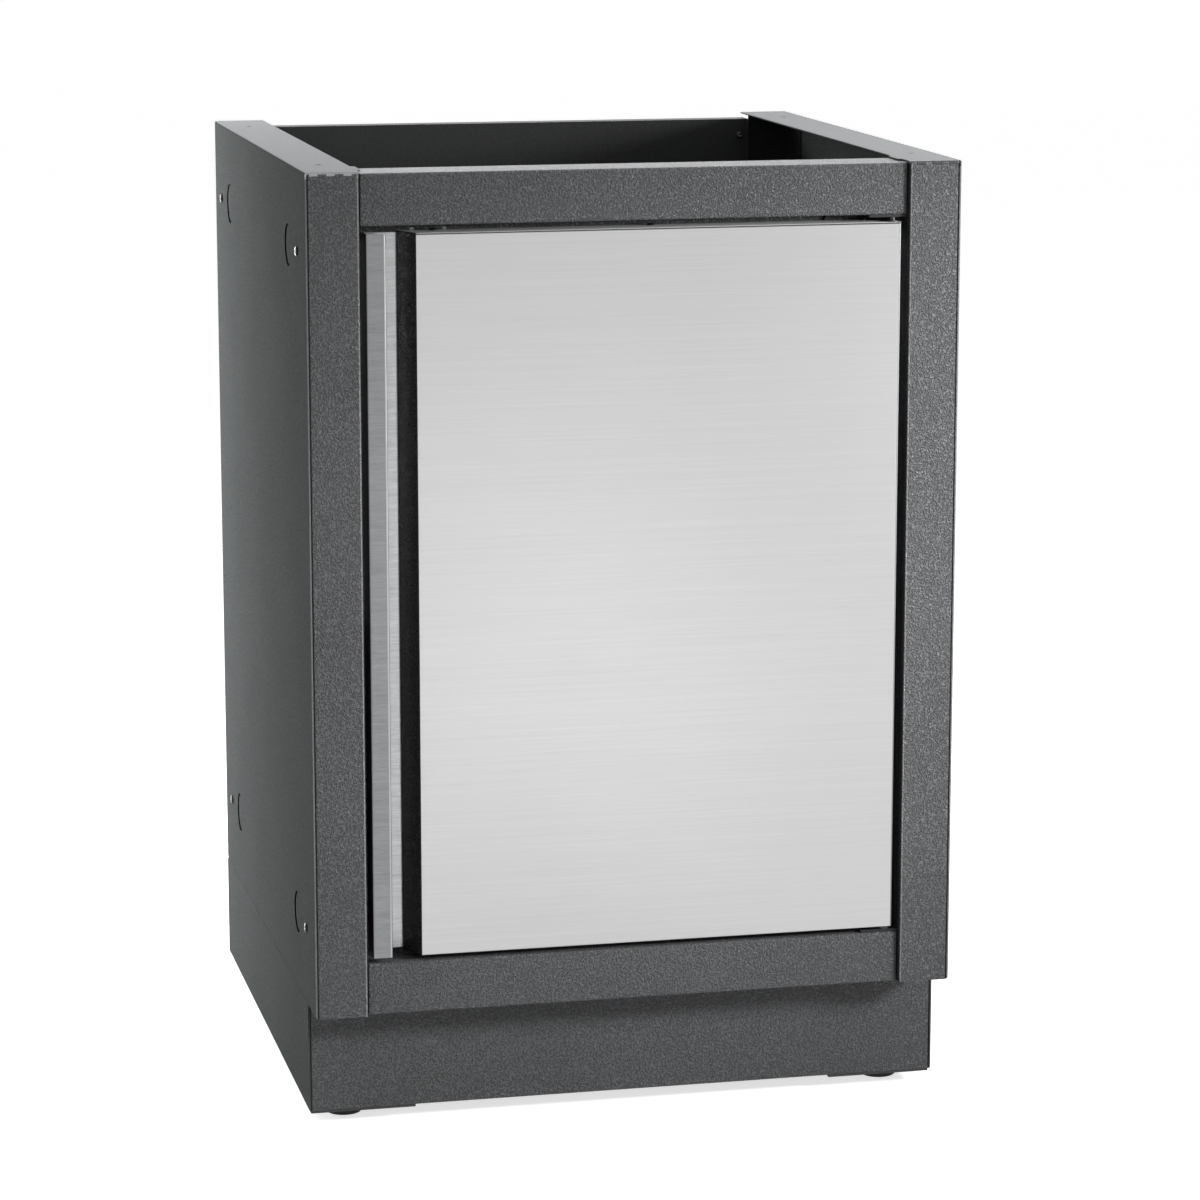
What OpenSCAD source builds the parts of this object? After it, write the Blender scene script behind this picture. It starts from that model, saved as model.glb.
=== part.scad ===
// Outdoor kitchen cabinet with one inset door
// Origin: on the floor, under the centre of the cabinet. The front faces -Y.
// The frame is folded painted sheet on a set-back base with levelling feet.
// The door is folded stainless sheet with a full-height finger pull.

/* [Cabinet] */
// Overall width over the side panels
body_w = 610; // [500:1:900]
// Overall depth from the post faces to the rear edge
body_d = 610; // [500:1:750]
// Overall height with the feet screwed in
body_h = 902; // [750:1:1000]
// Sheet thickness of the frame
sheet = 1.5; // [1.2:0.1:2]
// Inside radius of every fold
fold_r = 0.6; // [0.4:0.1:1.2]
// Gap left between painted sheets that lie against each other
fit = 0.1; // [0.05:0.05:0.3]

/* [Side panels] */
// Width of the flange that carries the worktop
top_flange = 50; // [40:1:70]
// Width of the stiffening fold at the rear edge
rear_fold = 15; // [10:1:25]
// Width of the flange that stands on the base
bottom_flange = 20; // [16:1:24]
// Distance of the side screws from the front and rear edges
side_screw_inset = 50; // [40:1:56]
// Distance of the side screws from the panel's top and bottom edges
side_screw_drop = 75; // [60:1:120]
// Diameter of the knock-outs for pipes and for joining cabinets
knockout_d = 38; // [20:1:50]
// Distance of the knock-outs from the front and rear edges
knockout_inset = 107; // [95:1:150]
// Width of the slit round a knock-out
knockout_slit = 0.8; // [0.5:0.1:1.2]
// Width of the three ties that hold a knock-out
knockout_tie = 3; // [2:0.5:5]
// Diameter of the worktop screw holes
worktop_hole_d = 6.5; // [4:0.5:9]
// Distance of the worktop holes from the outer side
worktop_hole_side = 24.5; // [18:0.5:30]
// Distance of the worktop holes from the front and rear edges
worktop_hole_end = 78; // [60:1:150]

/* [Posts] */
// Width of a front post's face
post_w = 49; // [40:1:70]
// Depth of the post's outer leg, behind the side panel
post_outer_leg = 62; // [60:1:80]
// Depth of the post's inner leg, beside the door
post_inner_leg = 40; // [34:1:55]
// Distance of the back panel in front of the rear edge
back_inset = 30; // [26:1:50]
// Width of a rear post's face
rear_post_w = 70; // [60:1:90]
// Depth of the rear post's two legs
rear_post_leg = 40; // [38:1:60]

/* [Rails] */
// Height of the top rail's face
top_rail_h = 47.5; // [40:0.5:80]
// Height of the bottom rail's face
bottom_rail_h = 49; // [40:0.5:80]
// Distance of the top rail below the worktop flange
top_rail_drop = 2; // [1.8:0.1:4]
// Distance of the rails and the door behind the post faces
door_inset = 5; // [3:0.5:8]
// Depth of the top rail's upper flange
top_rail_flange = 50; // [40:1:70]
// Gap between a rail's end and the post
rail_end_gap = 0.5; // [0.2:0.1:0.8]
// Height of the door stop folded on each rail
stop_h = 14; // [12:0.5:18]
// Gap between the closed door's back and the door stops
stop_gap = 3.5; // [3:0.1:5]

/* [Base] */
// Height of the base
base_h = 105; // [80:1:150]
// Distance of the kick plate behind the post faces
kick_setback = 51; // [40:1:90]
// Depth of the base's flanges
base_flange = 25; // [22:1:28]
// Side of a square foot plate
foot_plate_w = 100; // [80:1:130]
// Thickness of a foot plate
foot_plate_t = 2.5; // [2:0.5:4]
// Distance of a foot's centre from the outer side
foot_side = 40; // [38:1:50]
// Distance of a foot's centre from the kick plate or the rear edge
foot_end = 45; // [38:1:50]

/* [Levelling feet] */
// Diameter of a foot's pad
pad_d = 35; // [28:1:50]
// Height of a foot's pad
pad_h = 12.2; // [10:0.1:20]
// Diameter of a foot's stud
stud_d = 10; // [8:1:12]
// Length of the stud above the pad
stud_len = 48; // [36:1:60]
// How far a foot can be screwed out
foot_travel = 20; // [10:1:24]

/* [Door] */
// Gap between the door and each post
door_gap_side = 6; // [5:0.5:8]
// Gap between the door and the top rail
door_gap_top = 7; // [6:0.5:9]
// Gap between the door and the bottom rail
door_gap_bottom = 5; // [4.5:0.5:8]
// Thickness of the door
door_t = 30; // [30:1:34]
// Thickness of the stainless skin
skin = 1; // [0.8:0.1:1.2]
// Thickness of the door's inner cover
liner = 0.8; // [0.6:0.1:1]
// Depth of the inner cover's folded edges
liner_fold = 12; // [8:0.5:12]
// Diameter of the hinge pins
pin_d = 6; // [4:0.5:7]
// Distance of the hinge axis from the door's edge and from its front
pivot_inset = 7; // [6.5:0.1:7.5]
// Radial play of a hinge pin in its bush
pin_play = 0.05; // [0.02:0.01:0.1]

/* [Finger pull] */
// Width of the strip at the door's free edge
pull_strip = 18.5; // [14:0.5:25]
// Width of the slot's floor
slot_floor = 12; // [10:0.5:20]
// Width of the slot at the door's front
slot_mouth = 27.5; // [24:0.5:34]
// Thickness of the moulded grip
grip_t = 2; // [1.6:0.1:2.6]
// Depth of the strip's turned-in edge, where the fingers hold it
pull_return = 5; // [2:0.5:8]
// How much shorter the slot's floor is at its upper end
floor_short_top = 1.8; // [1.4:0.1:4]
// How much shorter the slot's floor is at its lower end
floor_short_bottom = 5.8; // [2:0.1:8]

/* [Inside] */
// Height of the shelf above the floor panel
shelf_rise = 350; // [200:1:480]
// Depth of the shelf
shelf_d = 470; // [300:1:480]
// Height of the floor panel's turned-up edges
floor_lip = 12; // [8:1:20]
// Width of the legs of a shelf rail
shelf_rail_w = 25; // [20:1:30]

/* [Hidden] */
$fn = 48;
eps = 1;
half_w = body_w / 2;
y_front = -body_d / 2;
y_rear = body_d / 2;
bend = fold_r + sheet;

// Heights of the main parts
foot_clear = 0.3;
z_base = pad_h + foot_clear + foot_plate_t;
z_body = z_base + base_h;
z_top = body_h;
z_rail_top = z_top - top_rail_drop;
z_opening_top = z_rail_top - top_rail_h;
z_opening_bottom = z_body + bottom_rail_h;
z_door_top = z_opening_top - door_gap_top;
z_door_bottom = z_opening_bottom + door_gap_bottom;
door_h = z_door_top - z_door_bottom;

// Plan of the door and the posts
x_opening = half_w - post_w;
door_w = 2 * (x_opening - door_gap_side);
x_door = -door_w / 2;
y_door = y_front + door_inset;
y_door_back = y_door + door_t;
y_stop = y_door_back + stop_gap;
rail_depth = door_t + stop_gap + sheet;
x_leg = half_w - sheet - fit;
leg_mid = x_leg - sheet / 2;

// The back of the cabinet
back_sheet = 1.2;
back_drop = 5;
back_lip = 7;
back_flange = 22;
y_back = y_rear - back_inset;
y_rear_face = y_back + back_sheet;
rear_return = 18;
x_back = half_w - top_flange;

// The base
y_kick = y_front + kick_setback;
foot_y = [y_kick + foot_end, y_rear - foot_end];
plate_inset = 2;
nut_h = 8;
nut_across = 16;
stud_bore_r = stud_d / 2 + pin_play;
base_gap = 1;
// Relief beside the closing fold at the foot of a post
fold_relief = 0.7;

// The hinge
pivot_x = door_w / 2 - pivot_inset;
pivot_y = y_door + pivot_inset;
bracket_t = 2.5;
bracket_len = 36;
bracket_depth = 28;
bush_wall = 1.5;
bush_flange_d = 12;
bush_flange_t = 1.2;
hinge_plate_t = 3;
hinge_plate_w = 40;
hinge_plate_d = 16;
pin_reach = 14;
pin_r = pin_d / 2;
bush_r = pin_r + pin_play + bush_wall;

// The finger pull, across the door from its free edge and back from its front
slot_far = pull_strip + slot_mouth;
slot_depth = door_t - liner - fit - skin;
floor_end = pull_strip + slot_floor;
floor_run = 44;
grip_lip = 12;
grip_end_gap = 2;

// Screws: shank diameter, head diameter, head height
screw_m5 = [5, 9, 2.4];
screw_m4 = [4, 7, 1.8];
hole_play = 0.2;
recess_w = 0.9;
recess_share = 0.6;
rim_share = 0.4;
crown_share = 0.35;
side_screw_len = 7;
rail_screw_len = 8;
back_screw_len = 8;
liner_screw_len = 6;
screw_end = 2;

// The catch, the stops and the shelf
catch_w = 46;
catch_h = 14;
catch_d = 15;
catch_from_edge = 40;
catch_x = -door_w / 2 + catch_from_edge;
catch_ear_t = 1.5;
strike_t = 1.2;
catch_gap = 0.3;
bumper_d = 10;
bumper_from_edge = 60;
bumper_x = door_w / 2 - bumper_from_edge;
z_floor = z_body + sheet + fit;
z_shelf = z_floor + sheet + shelf_rise;
shelf_lip = 20;
shelf_side_gap = 1.5;

// Helpers: blocks, screws and folded sheet

// A block between two values on each axis
module block(x, y, z) {
    translate([x[0], y[0], z[0]])
        cube([x[1] - x[0], y[1] - y[0], z[1] - z[0]]);
}

// The mirror image across the middle of the cabinet for the right-hand piece
module handed(right) {
    mirror([right ? 1 : 0, 0, 0])
        children();
}

// Children drawn flat are stood up: X stays, Y becomes height, Z runs back
module stand_back() {
    mirror([0, 1, 0])
        rotate([90, 0, 0])
            children();
}

// Children drawn flat are stood up: X stays, Y becomes height, Z runs forward
module stand_forward() {
    rotate([90, 0, 0])
        children();
}

// Children drawn flat are stood up: X runs back, Y becomes height, Z runs to +X
module stand_side() {
    rotate([90, 0, 90])
        children();
}

// Heading in degrees from one point to another
function heading(a, b) = atan2(b[1] - a[1], b[0] - a[0]);

// Signed turn from one heading to another
function turn(h0, h1) =
    let (d = h1 - h0)
    d > 180 ? d - 360 : (d < -180 ? d + 360 : d);

// A point on a round bend at corner p: share s of the turn a, at radius r
function bend_point(p, h0, a, r, s) =
    let (
        side = a > 0 ? 1 : -1,
        start = p - r * tan(abs(a) / 2) * [cos(h0), sin(h0)],
        centre = start + r * side * [-sin(h0), cos(h0)],
        h = h0 + a * s,
        q = centre - r * side * [-sin(h), cos(h)]
    )
    [q[0], q[1], h];

// Stations along a sheet's centre line, with a round bend at each inner corner
bend_steps = 4;
function stations(path, r) = [
    for (i = [0 : len(path) - 1])
        let (
            last = len(path) - 1,
            ends = i == 0 || i == last,
            h0 = heading(path[max(i - 1, 0)], path[max(i, 1)]),
            h1 = heading(path[min(i, last - 1)], path[min(i + 1, last)])
        )
        for (k = [0 : ends ? 0 : bend_steps])
            bend_point(path[i], h0, turn(h0, h1), r, k / bend_steps)
];

// Outline of a strip of sheet folded along a centre line
function fold_outline(path, t, r_in) =
    let (s = stations(path, r_in + t / 2), n = len(s))
    concat(
        [for (p = s) [p[0] - sin(p[2]) * t / 2, p[1] + cos(p[2]) * t / 2]],
        [for (i = [1 : n]) let (p = s[n - i])
            [p[0] + sin(p[2]) * t / 2, p[1] - cos(p[2]) * t / 2]]
    );

// A quarter bend round a centre, or its corner point when the radius is zero
function quarter(c, r, from) =
    r > 0 ? [for (k = [0 : bend_steps])
        c + r * [cos(from + 90 * k / bend_steps), sin(from + 90 * k / bend_steps)]] : [c];

// Section across a pan: its floor runs from a to b, its sides rise to d
function pan_section(a, b, floor, d, ra, rb) = concat(
    [[a, d]],
    quarter([a + ra, floor + ra], ra, 180),
    quarter([b - rb, floor + rb], rb, 270),
    [[b, d]]
);

// A block from lo to hi whose lower edges are rounded where a side is folded
module pan_block(lo, hi, floor, d, r) {
    intersection() {
        translate([0, hi[1], 0])
            rotate([90, 0, 0])
                linear_extrude(hi[1] - lo[1])
                    polygon(pan_section(lo[0], hi[0], floor, d, r[0], r[1]));
        translate([lo[0], 0, 0])
            rotate([90, 0, 90])
                linear_extrude(hi[0] - lo[0])
                    polygon(pan_section(lo[1], hi[1], floor, d, r[2], r[3]));
    }
}

// The three bands across a pan of one size: its near edge, its middle, its far edge
function bands(size, near, far, t) =
    let (lo = near > 0 ? t : -eps, hi = far > 0 ? size - t : size + eps)
    [[-eps, lo], [lo, hi], [hi, size + eps]];

// Folded pan: a sheet of w by h with edges turned up on the left, right, bottom
// and top sides. A zero leaves that edge flat.
module pan(w, h, edges, t) {
    d = max(edges);
    r_out = [for (e = edges) e > 0 ? fold_r + t : 0];
    r_in = [for (e = edges) e > 0 ? fold_r : 0];
    x_band = bands(w, edges[0], edges[1], t);
    y_band = bands(h, edges[2], edges[3], t);
    x_edge = [edges[0], 0, edges[1]];
    y_edge = [edges[2], 0, edges[3]];
    difference() {
        pan_block([0, 0], [w, h], 0, d, r_out);
        pan_block([x_band[1][0], y_band[1][0]], [x_band[1][1], y_band[1][1]], t, d + eps, r_in);
        // An edge, or the corner between two, ends at its own depth
        for (i = [0 : 2], j = [0 : 2]) {
            depth = max(x_edge[i], y_edge[j]);
            if (depth > 0 && depth < d && x_band[i][0] < x_band[i][1] && y_band[j][0] < y_band[j][1])
                block(x_band[i], y_band[j], [depth, d + eps]);
        }
    }
}

// A pan-head screw: its head rises from the seat at z = 0, its shank goes down
module screw(size, len) {
    head_r = size[1] / 2;
    head_h = size[2];
    rim_h = head_h * rim_share;
    difference() {
        union() {
            translate([0, 0, -len])
                cylinder(d = size[0], h = len + rim_h);
            rotate_extrude()
                polygon(concat(
                    [[0, 0], [head_r, 0]],
                    [for (a = [0 : 15 : 90]) [
                        head_r * (crown_share + (1 - crown_share) * cos(a)),
                        rim_h + (head_h - rim_h) * sin(a)
                    ]],
                    [[0, head_h]]
                ));
        }
        for (a = [0, 90])
            rotate([0, 0, a])
                block(
                    [-head_r * recess_share, head_r * recess_share],
                    [-recess_w / 2, recess_w / 2],
                    [head_h * (1 - recess_share), head_h + eps]
                );
    }
}

// The hole that a screw passes through, centred on its seat
module screw_hole(size) {
    reach = 12;
    cylinder(d = size[0] + 2 * hole_play, h = 2 * reach, center = true);
}

// How far the disc of a knock-out is pressed in
knockout_press = 0.75 * sheet;

// Places where fasteners go: each list serves both the holes and the screws

side_screw_y = [y_front + side_screw_inset, y_rear - side_screw_inset];
side_screw_z = [z_body + side_screw_drop, z_top - side_screw_drop];

// Side screws, drawn for the left side with +Z pointing out
module at_side_screws() {
    for (y = side_screw_y, z = side_screw_z)
        translate([-half_w, y, z])
            rotate([0, -90, 0])
                children();
}

rail_screw_back = 15;
rail_screw_y = y_door + rail_screw_back;
rail_screw_gap = 24;
rail_screw_z = [
    for (z = [z_body + bottom_rail_h / 2, z_rail_top - top_rail_h / 2], s = [-1, 1])
        z + s * rail_screw_gap / 2
];
x_rail = x_opening - rail_end_gap;

// Rail screws, drawn for the left side with the heads inside the rails
module at_rail_screws() {
    for (z = rail_screw_z)
        translate([-x_rail + sheet, rail_screw_y, z])
            rotate([0, 90, 0])
                children();
}

back_screw_in = 9;
back_screw_end = 17;
back_bottom = z_floor;
back_top = z_top - back_drop;
back_screw_z = [
    back_bottom + back_screw_end + floor_lip,
    (back_bottom + back_top) / 2,
    back_top - back_screw_end
];

// Back panel screws, drawn for the left side with the heads inside
module at_back_screws() {
    for (z = back_screw_z)
        translate([-x_back + back_screw_in, y_back, z])
            rotate([90, 0, 0])
                children();
}

base_screw_edge = 8;
base_screw_end = 130;
base_screw_x = bottom_flange - base_screw_edge;
base_screw_y = [y_kick + base_screw_end, y_rear - base_screw_end];

// Screws from the base into the body, drawn for the left side, heads below
module at_base_screws() {
    for (y = base_screw_y)
        translate([-half_w + base_screw_x, y, z_body - sheet])
            rotate([180, 0, 0])
                children();
}

// Foot plates: the corner of the base is at the origin, the plate runs to +X and +Y
module at_plate(right, rear) {
    handed(right)
        translate([-half_w, rear ? y_rear : y_kick, 0])
            mirror([0, rear ? 1 : 0, 0])
                children();
}

plate_screw_edge = 12;
plate_screw_far = [70, 80];
plate_screw_at = [[plate_screw_far[0], plate_screw_edge], [plate_screw_edge, plate_screw_far[1]]];

// Screws in one foot plate, drawn at the plate's corner
module at_plate_screws() {
    for (p = plate_screw_at)
        translate([p[0], p[1], z_base - foot_plate_t])
            rotate([180, 0, 0])
                children();
}

shelf_screw_y = [y_front + side_screw_inset, y_back - rear_post_leg / 2];
x_shelf_rail = x_leg - sheet - fit;
shelf_screw_drop = 15;
z_shelf_screw = z_shelf - sheet - fit - shelf_screw_drop;

// Shelf rail screws, drawn for the left side with the heads inside
module at_shelf_screws() {
    for (y = shelf_screw_y)
        translate([-x_shelf_rail + sheet, y, z_shelf_screw])
            rotate([0, 90, 0])
                children();
}

liner_screw_back = 24;
liner_screw_first = 66;
liner_screw_last = 30;
liner_screw_x = [
    x_door + liner_screw_first,
    (liner_screw_first - liner_screw_last) / 2,
    -x_door - liner_screw_last
];

// Screws in the door's top and bottom folds
module at_liner_screws() {
    for (x = liner_screw_x) {
        translate([x, y_door + liner_screw_back, z_door_top])
            children();
        translate([x, y_door + liner_screw_back, z_door_bottom])
            rotate([180, 0, 0])
                children();
    }
}

bracket_x = [x_opening - rail_end_gap - bracket_len, x_opening - rail_end_gap];
bracket_y = [y_door + sheet, y_door + sheet + bracket_depth];
bracket_screw_in = 14;
bracket_screw_out = 7;
bracket_screw_back = 14.5;
bracket_screw_x = [pivot_x - bracket_screw_in, pivot_x + bracket_screw_out];
bracket_screw_y = pivot_y + bracket_screw_back;

// The upper hinge's frame, or the lower one's, which is its mirror image
module at_hinge(lower) {
    translate([0, 0, lower ? z_opening_bottom : z_opening_top])
        mirror([0, 0, lower ? 1 : 0])
            children();
}

// Screws in a hinge bracket, whose underside hangs below the rail
module at_bracket_screws() {
    for (x = bracket_screw_x)
        translate([x, bracket_screw_y, -bracket_t])
            rotate([180, 0, 0])
                children();
}

catch_screw_edge = 8;
catch_screw_x = [catch_x + catch_screw_edge, catch_x + catch_w - catch_screw_edge];
catch_screw_z = z_opening_top - stop_h / 2;

// Catch screws, with the heads behind the door stop
module at_catch_screws() {
    for (x = catch_screw_x)
        translate([x, y_stop + sheet + catch_ear_t, catch_screw_z])
            rotate([-90, 0, 0])
                children();
}

bumper_places = [
    for (x = [-bumper_x, bumper_x], z = [z_opening_top - stop_h / 2, z_opening_bottom + stop_h / 2])
        if (!(x < 0 && z > body_h / 2)) [x, y_stop, z]
];

// Frame

// Side panel with its worktop flange, drawn for the left side
tongue_w = 7.6;
tongue_h = 2;
tongue_gap = 0.4;
tongue_x = [4.2, 19.5, 34.8];
ear_w = 4;
ear_len = 34;
ear_from = 22;
ear_r = 3.5;
edge_notch_h = 4;
edge_notch_d = 2;
edge_notch_rise = 510;
edge_notch_z = z_body + edge_notch_rise;

// Knock-outs are drawn with the outer face at z 0 and the inside of the cabinet above
module at_knockouts() {
    for (y = [y_front + knockout_inset, y_rear - knockout_inset], z = side_screw_z)
        translate([-half_w, y, z])
            rotate([0, 90, 0])
                children();
}

module knockout_disc() {
    translate([0, 0, sheet / 2])
        cylinder(r = knockout_d / 2, h = sheet / 2 + knockout_press);
}

module knockout_cut() {
    r = knockout_d / 2;
    deep = sheet + knockout_press;
    // Recess that the pressed-in disc leaves
    translate([0, 0, -eps])
        cylinder(r = r, h = knockout_press + eps);
    // Slit round the disc, but for its ties
    difference() {
        translate([0, 0, -eps])
            cylinder(r = r + knockout_slit / 2, h = deep + 2 * eps);
        translate([0, 0, -2 * eps])
            cylinder(r = r - knockout_slit / 2, h = deep + 4 * eps);
        for (a = [90, 210, 330])
            rotate([0, 0, a])
                block([0, r + eps], [-knockout_tie / 2, knockout_tie / 2], [-2 * eps, deep + 2 * eps]);
    }
}

module side_panel() {
    panel_h = z_top - z_body;
    difference() {
        union() {
            translate([-half_w, y_front, z_body])
                stand_side()
                    pan(body_d, panel_h, [0, rear_fold, bottom_flange, top_flange], sheet);
            // Tongues that lock the top of the post's face
            for (x = tongue_x)
                block(
                    [-half_w + x, -half_w + x + tongue_w],
                    [y_front, y_front + sheet],
                    [z_top - sheet - tongue_h, z_top - sheet / 2]
                );
            // Round ear over the top rail's flange
            translate([-x_back - eps, y_front + ear_from, z_top - sheet])
                linear_extrude(sheet)
                    union() {
                        square([ear_w + eps - ear_r, ear_len]);
                        translate([0, ear_r])
                            square([ear_w + eps, ear_len - 2 * ear_r]);
                        for (y = [ear_r, ear_len - ear_r])
                            translate([ear_w + eps - ear_r, y])
                                circle(r = ear_r);
                    }
            at_knockouts()
                knockout_disc();
        }
        // The bottom flange stands on the base only
        block(
            [-half_w + sheet, -half_w + bottom_flange + eps],
            [y_front - eps, y_kick + base_gap],
            [z_body - eps, z_body + bend]
        );
        // Small locating notch in the rear edge
        block(
            [-half_w - eps, -half_w + bend],
            [y_rear - edge_notch_d, y_rear + eps],
            [edge_notch_z, edge_notch_z + edge_notch_h]
        );
        for (y = [y_front + worktop_hole_end, y_rear - worktop_hole_end])
            translate([-half_w + worktop_hole_side, y, z_top])
                cylinder(d = worktop_hole_d, h = 2 * (sheet + eps), center = true);
        at_knockouts()
            knockout_cut();
        at_side_screws()
            screw_hole(screw_m5);
        at_base_screws()
            screw_hole(screw_m5);
    }
}

module side_panel_left() {
    color("#4b4d4e")
        side_panel();
}

module side_panel_right() {
    color("#4b4d4e")
        handed(true)
            side_panel();
}

// Front post: a channel that opens to the rear, drawn for the left side
module front_post() {
    post_top = z_top - sheet - fit;
    y_mid = y_front + sheet / 2;
    x_inner = -x_opening - sheet / 2;
    path = [
        [-leg_mid, y_front + post_outer_leg],
        [-leg_mid, y_mid],
        [x_inner, y_mid],
        [x_inner, y_front + post_inner_leg]
    ];
    difference() {
        union() {
            translate([0, 0, z_body])
                linear_extrude(post_top - z_body)
                    polygon(fold_outline(path, sheet, fold_r));
            // Closing fold at the foot of the post
            block(
                [-leg_mid + sheet / 2 + fold_relief, x_inner],
                [y_mid, y_front + kick_setback - base_gap],
                [z_body, z_body + sheet]
            );
        }
        for (x = tongue_x)
            block(
                [-half_w + x - tongue_gap, -half_w + x + tongue_w + tongue_gap],
                [y_front - eps, y_front + sheet + fold_r],
                [z_top - sheet - tongue_h - tongue_gap, z_top]
            );
        // The outer leg stops above the side panel's bottom flange
        block(
            [-half_w, -leg_mid + sheet],
            [y_kick - base_gap, y_front + post_outer_leg + eps],
            [z_body - eps, z_body + bend + fit]
        );
        at_side_screws()
            screw_hole(screw_m5);
        at_rail_screws()
            screw_hole(screw_m5);
        at_shelf_screws()
            screw_hole(screw_m5);
    }
}

module front_post_left() {
    color("#58595a")
        front_post();
}

module front_post_right() {
    color("#58595a")
        handed(true)
            front_post();
}

// Rear post: a zed that carries the back panel, drawn for the left side
module rear_post() {
    z_from = z_body + sheet + fit;
    y_mid = y_rear_face + fit + sheet / 2;
    x_inner = -half_w + rear_post_w;
    path = [
        [-leg_mid, y_mid - rear_post_leg],
        [-leg_mid, y_mid],
        [x_inner, y_mid],
        [x_inner, y_mid + rear_return]
    ];
    difference() {
        translate([0, 0, z_from])
            linear_extrude(z_top - sheet - fit - z_from)
                polygon(fold_outline(path, sheet, fold_r));
        // The back panel's upper flange passes over the inner part
        block(
            [-x_back - base_gap, x_inner + sheet],
            [y_rear_face, y_rear],
            [back_top - back_sheet - fit, z_top]
        );
        at_side_screws()
            screw_hole(screw_m5);
        at_back_screws()
            screw_hole(screw_m4);
        at_shelf_screws()
            screw_hole(screw_m5);
    }
}

module rear_post_left() {
    color("#3c3e3f")
        rear_post();
}

module rear_post_right() {
    color("#3c3e3f")
        handed(true)
            rear_post();
}

// Door stop folded on a rail's inner flange, up to down between two heights
module door_stop(z) {
    block([-x_rail, x_rail], [y_stop, y_stop + sheet], z);
}

rail_end_fold = 30;

module top_rail() {
    color("#58595a")
        difference() {
            union() {
                translate([-x_rail, y_door, z_opening_top])
                    stand_back()
                        pan(
                            2 * x_rail, top_rail_h,
                            [rail_end_fold, rail_end_fold, rail_depth, top_rail_flange],
                            sheet
                        );
                door_stop([z_opening_top - stop_h, z_opening_top + sheet]);
            }
            for (right = [false, true])
                handed(right)
                    at_rail_screws()
                        screw_hole(screw_m5);
            at_hinge(false)
                at_bracket_screws()
                    screw_hole(screw_m4);
            at_catch_screws()
                screw_hole(screw_m4);
        }
}

module bottom_rail() {
    color("#58595a")
        difference() {
            union() {
                translate([-x_rail, y_door, z_body])
                    stand_back()
                        pan(
                            2 * x_rail, bottom_rail_h,
                            [rail_end_fold, rail_end_fold, top_rail_flange, rail_depth],
                            sheet
                        );
                door_stop([z_opening_bottom - sheet, z_opening_bottom + stop_h]);
            }
            for (right = [false, true])
                handed(right)
                    at_rail_screws()
                        screw_hole(screw_m5);
            at_hinge(true)
                at_bracket_screws()
                    screw_hole(screw_m4);
        }
}

// Back panel: lips turned forward at the ends, a flange turned back at the top
module back_panel() {
    color("#2c2d2e")
        difference() {
            union() {
                translate([-x_back, y_rear_face, back_bottom])
                    stand_forward()
                        pan(2 * x_back, back_top - back_bottom, [back_lip, back_lip, 0, 0], back_sheet);
                block(
                    [-x_back, x_back],
                    [y_back, y_back + back_flange],
                    [back_top - back_sheet, back_top]
                );
            }
            // No lips where the floor panel's turned-up edge stands
            for (right = [false, true])
                handed(right) {
                    block(
                        [-x_back - eps, -x_back + back_sheet + fold_r],
                        [y_rear_face - back_lip - eps, y_back],
                        [back_bottom - eps, back_bottom + floor_lip + base_gap]
                    );
                    at_back_screws()
                        screw_hole(screw_m4);
                }
        }
}

floor_side_gap = 1.5;
floor_front = y_stop + sheet + base_gap;

// Floor panel: a sheet with three turned-up edges
module floor_panel() {
    floor_w = 2 * (x_leg - sheet - floor_side_gap);
    floor_d = y_back - fit - floor_front;
    color("#2c2d2e")
        difference() {
            translate([-floor_w / 2, floor_front, z_floor])
                pan(floor_w, floor_d, [floor_lip, floor_lip, 0, floor_lip], sheet);
            for (right = [false, true])
                handed(right)
                    at_base_screws()
                        screw_hole(screw_m5);
        }
}

// Shelf: a sheet with its front and rear edges turned down between the rails
module shelf() {
    shelf_w = 2 * (x_shelf_rail - sheet - shelf_side_gap);
    lip_clear = shelf_rail_w - sheet - shelf_side_gap + base_gap;
    y_shelf = y_back - fit - back_lip - base_gap - shelf_d;
    color("#46484a")
        difference() {
            translate([-shelf_w / 2, y_shelf, z_shelf])
                mirror([0, 0, 1])
                    pan(shelf_w, shelf_d, [0, 0, shelf_lip, shelf_lip], sheet);
            for (x = [-shelf_w / 2, shelf_w / 2 - lip_clear])
                block(
                    [x - (x < 0 ? eps : 0), x + lip_clear + (x < 0 ? 0 : eps)],
                    [y_shelf - eps, y_shelf + shelf_d + eps],
                    [z_shelf - shelf_lip - eps, z_shelf - sheet]
                );
        }
}

// Shelf rail: an angle from the front post to the rear post, drawn for the left
module shelf_rail() {
    z_leg = z_shelf - sheet - fit;
    mid = sheet / 2;
    path = [
        [-x_shelf_rail + mid, z_leg - shelf_rail_w],
        [-x_shelf_rail + mid, z_leg - mid],
        [-x_shelf_rail + shelf_rail_w, z_leg - mid]
    ];
    y_from = y_front + post_inner_leg + base_gap;
    y_to = y_back - fit;
    difference() {
        translate([0, y_to, 0])
            rotate([90, 0, 0])
                linear_extrude(y_to - y_from)
                    polygon(fold_outline(path, sheet, fold_r));
        at_shelf_screws()
            screw_hole(screw_m5);
    }
}

module shelf_rail_left() {
    color("#46484a")
        shelf_rail();
}

module shelf_rail_right() {
    color("#46484a")
        handed(true)
            shelf_rail();
}

// Base

base_x = half_w - sheet - fit;

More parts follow.
